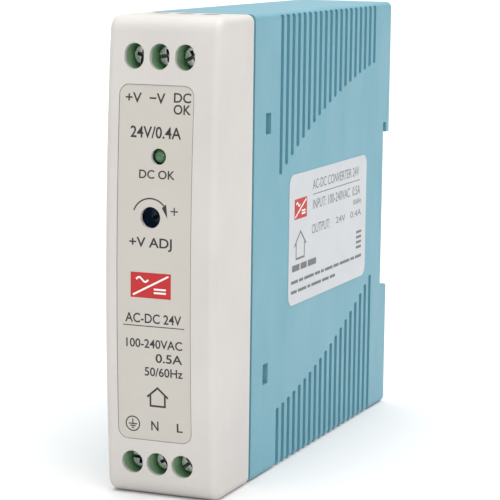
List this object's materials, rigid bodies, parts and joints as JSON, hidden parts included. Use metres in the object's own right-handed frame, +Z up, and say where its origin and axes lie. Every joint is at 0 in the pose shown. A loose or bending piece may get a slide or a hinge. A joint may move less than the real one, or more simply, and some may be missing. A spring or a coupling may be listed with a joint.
{
  "type": "din rail power supply",
  "caption": "Slim DIN rail power supply: white front cover, teal case, recessed screw terminals at top and bottom, status lamp, voltage trimmer and a sprung rail latch.",
  "frame": {"origin": "centre of the 35 mm rail on the flat seat at the back that the rail bears on", "axes": "+Y back into the rail, normal to the seat; +X to the right seen from the front; +Z up, output terminals at the top"},
  "size_m": [0.0226, 0.1, 0.09],
  "materials": {
    "cover_plastic": "fine textured moulded thermoplastic",
    "panel_film": "satin printed film",
    "case_plastic": "fine textured moulded thermoplastic",
    "sticker_paper": "satin printed film",
    "latch_plastic": "moulded thermoplastic",
    "spring_steel": "drawn spring wire",
    "terminal_plastic": "moulded polyamide",
    "tinned_brass": "tin plated",
    "circuit_board": "glass fibre laminate with solder mask",
    "insulating_film": "thin polyester film",
    "green_lens": "tinted clear epoxy",
    "dark_plastic": "moulded thermoplastic",
    "trimmer_plastic": "moulded thermoplastic",
    "rotor_plastic": "moulded thermoplastic",
    "dark_epoxy": "moulded epoxy",
    "blue_epoxy": "dipped epoxy",
    "yellow_plastic": "moulded box",
    "ferrite": "ground ferrite",
    "copper_wire": "enamelled copper wire",
    "capacitor_sleeve": "shrink sleeve",
    "heat_sink_aluminium": "extruded, natural",
    "zinc_steel": "zinc plated",
    "yellow_tape": "polyester tape",
    "resistor_lacquer": "lacquered"
  },
  "bodies": {
    "housing": {"front_cover": "cover_plastic", "front_label": "panel_film", "rear_case": "case_plastic", "rating_label": "sticker_paper", "latch_spring": "spring_steel", "output_terminal_block": "terminal_plastic", "input_terminal_block": "terminal_plastic", "output_contacts": "tinned_brass", "input_contacts": "tinned_brass", "front_board": "circuit_board", "main_board": "circuit_board", "board_pins": "tinned_brass", "insulation_sheet": "insulating_film", "status_led": "green_lens", "led_spacer": "dark_plastic", "led_leads": "tinned_brass", "trimmer_body": "trimmer_plastic", "trimmer_riser": "dark_plastic", "input_fuse": "dark_plastic", "inrush_thermistor": "dark_epoxy", "surge_varistor": "blue_epoxy", "mains_filter_capacitor": "yellow_plastic", "line_choke_core": "ferrite", "line_choke_windings": "copper_wire", "bridge_rectifier": "dark_epoxy", "bulk_capacitor": "capacitor_sleeve", "heat_sink": "heat_sink_aluminium", "switch_transistor": "dark_epoxy", "heat_sink_screw": "zinc_steel", "controller_chip": "dark_epoxy", "transformer_core": "ferrite", "transformer_bobbin": "dark_plastic", "transformer_winding": "yellow_tape", "optocoupler": "dark_epoxy", "safety_capacitor": "blue_epoxy", "output_diode": "dark_epoxy", "output_capacitors": "capacitor_sleeve", "output_inductor": "ferrite", "resistors": "resistor_lacquer"},
    "screw_v_plus": {"screw_v_plus": "zinc_steel"},
    "clamp_v_plus": {"clamp_v_plus": "zinc_steel"},
    "screw_v_minus": {"screw_v_minus": "zinc_steel"},
    "clamp_v_minus": {"clamp_v_minus": "zinc_steel"},
    "screw_dc_ok": {"screw_dc_ok": "zinc_steel"},
    "clamp_dc_ok": {"clamp_dc_ok": "zinc_steel"},
    "screw_earth": {"screw_earth": "zinc_steel"},
    "clamp_earth": {"clamp_earth": "zinc_steel"},
    "screw_neutral": {"screw_neutral": "zinc_steel"},
    "clamp_neutral": {"clamp_neutral": "zinc_steel"},
    "screw_line": {"screw_line": "zinc_steel"},
    "clamp_line": {"clamp_line": "zinc_steel"},
    "trimmer_rotor": {"trimmer_rotor": "rotor_plastic"},
    "rail_latch": {"rail_latch": "latch_plastic"}
  },
  "joints": [
    {"name": "v_plus_screw_turn", "type": "hinge", "parent": "housing", "child": "screw_v_plus", "pos_m": [-0.00578, -0.0899, 0.0376], "axis": [0, 1, 0], "range_deg": [0, 1520.1]},
    {"name": "v_plus_clamp_slide", "type": "slide", "parent": "housing", "child": "clamp_v_plus", "axis": [0, -1, 0], "range_m": [0, 0.0019]},
    {"name": "v_minus_screw_turn", "type": "hinge", "parent": "housing", "child": "screw_v_minus", "pos_m": [-0.0007, -0.0899, 0.0376], "axis": [0, 1, 0], "range_deg": [0, 1520.1]},
    {"name": "v_minus_clamp_slide", "type": "slide", "parent": "housing", "child": "clamp_v_minus", "axis": [0, -1, 0], "range_m": [0, 0.0019]},
    {"name": "dc_ok_screw_turn", "type": "hinge", "parent": "housing", "child": "screw_dc_ok", "pos_m": [0.00438, -0.0899, 0.0376], "axis": [0, 1, 0], "range_deg": [0, 1520.1]},
    {"name": "dc_ok_clamp_slide", "type": "slide", "parent": "housing", "child": "clamp_dc_ok", "axis": [0, -1, 0], "range_m": [0, 0.0019]},
    {"name": "earth_screw_turn", "type": "hinge", "parent": "housing", "child": "screw_earth", "pos_m": [-0.00578, -0.0899, -0.0386], "axis": [0, 1, 0], "range_deg": [0, 1520.1]},
    {"name": "earth_clamp_slide", "type": "slide", "parent": "housing", "child": "clamp_earth", "axis": [0, -1, 0], "range_m": [0, 0.0019]},
    {"name": "neutral_screw_turn", "type": "hinge", "parent": "housing", "child": "screw_neutral", "pos_m": [-0.0007, -0.0899, -0.0386], "axis": [0, 1, 0], "range_deg": [0, 1520.1]},
    {"name": "neutral_clamp_slide", "type": "slide", "parent": "housing", "child": "clamp_neutral", "axis": [0, -1, 0], "range_m": [0, 0.0019]},
    {"name": "line_screw_turn", "type": "hinge", "parent": "housing", "child": "screw_line", "pos_m": [0.00438, -0.0899, -0.0386], "axis": [0, 1, 0], "range_deg": [0, 1520.1]},
    {"name": "line_clamp_slide", "type": "slide", "parent": "housing", "child": "clamp_line", "axis": [0, -1, 0], "range_m": [0, 0.0019]},
    {"name": "trimmer_turn", "type": "hinge", "parent": "housing", "child": "trimmer_rotor", "pos_m": [-0.0018, -0.0906, 0.0081], "axis": [0, 1, 0], "range_deg": [-130, 130]},
    {"name": "latch_slide", "type": "slide", "parent": "housing", "child": "rail_latch", "axis": [0, 0, -1], "range_m": [0, 0.003], "stiffness_N_per_m": 900, "springref_m": -0.002, "deforming": ["latch_spring"]}
  ],
  "couplings": [
    {"joint": "v_plus_screw_turn", "follows": "v_plus_clamp_slide", "rad_per_m": 13963},
    {"joint": "v_minus_screw_turn", "follows": "v_minus_clamp_slide", "rad_per_m": 13963},
    {"joint": "dc_ok_screw_turn", "follows": "dc_ok_clamp_slide", "rad_per_m": 13963},
    {"joint": "earth_screw_turn", "follows": "earth_clamp_slide", "rad_per_m": 13963},
    {"joint": "neutral_screw_turn", "follows": "neutral_clamp_slide", "rad_per_m": 13963},
    {"joint": "line_screw_turn", "follows": "line_clamp_slide", "rad_per_m": 13963}
  ]
}
